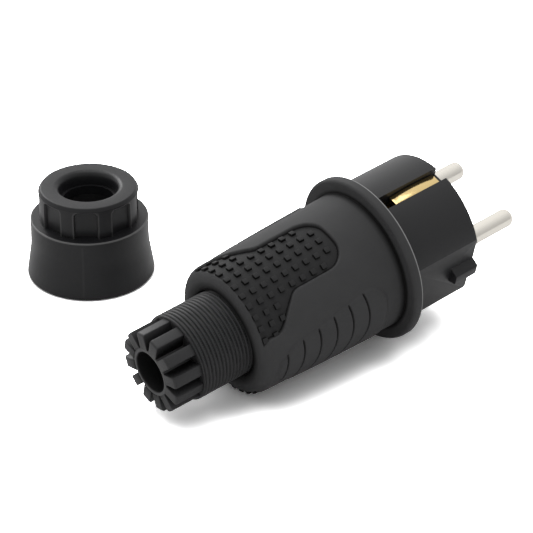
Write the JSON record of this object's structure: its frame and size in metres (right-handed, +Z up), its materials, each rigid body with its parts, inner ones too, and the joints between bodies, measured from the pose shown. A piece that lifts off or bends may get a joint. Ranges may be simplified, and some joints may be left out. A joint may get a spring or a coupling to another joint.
{
  "type": "rubber mains plug",
  "caption": "Rubber-bodied rewirable round mains plug with side earth clips, dotted grip, cable gland collet and its gland nut standing beside it.",
  "frame": {"origin": "on the surface that the plug and its nut lie on, under the middle of the box round both", "axes": "+Z up; +X along the plug from the cable end to the pins, seen from above; +Y to the left of that, towards the nut"},
  "size_m": [0.108, 0.1062, 0.0433],
  "materials": {
    "grip_rubber": "matte moulded rubber",
    "carrier_plastic": "satin moulded plastic",
    "pin_nickel": "satin nickel plate",
    "brass": "bright brass",
    "screw_steel": "zinc plated",
    "gland_plastic": "satin moulded plastic",
    "seal_rubber": "soft smooth rubber",
    "nut_plastic": "satin moulded plastic"
  },
  "bodies": {
    "root": {"grip_body": "grip_rubber", "contact_carrier": "carrier_plastic", "earth_strap": "brass", "earth_terminal": "brass", "earth_terminal_screw": "screw_steel", "earth_socket": "brass", "fixing_screw": "screw_steel", "fixing_bush": "brass", "threaded_sleeve": "gland_plastic", "clamp_collet": "gland_plastic", "cable_seal": "seal_rubber", "contact_pin_left": "pin_nickel", "terminal_screw_left": "screw_steel", "contact_pin_right": "pin_nickel", "terminal_screw_right": "screw_steel", "gland_nut": "nut_plastic"}
  },
  "joints": []
}
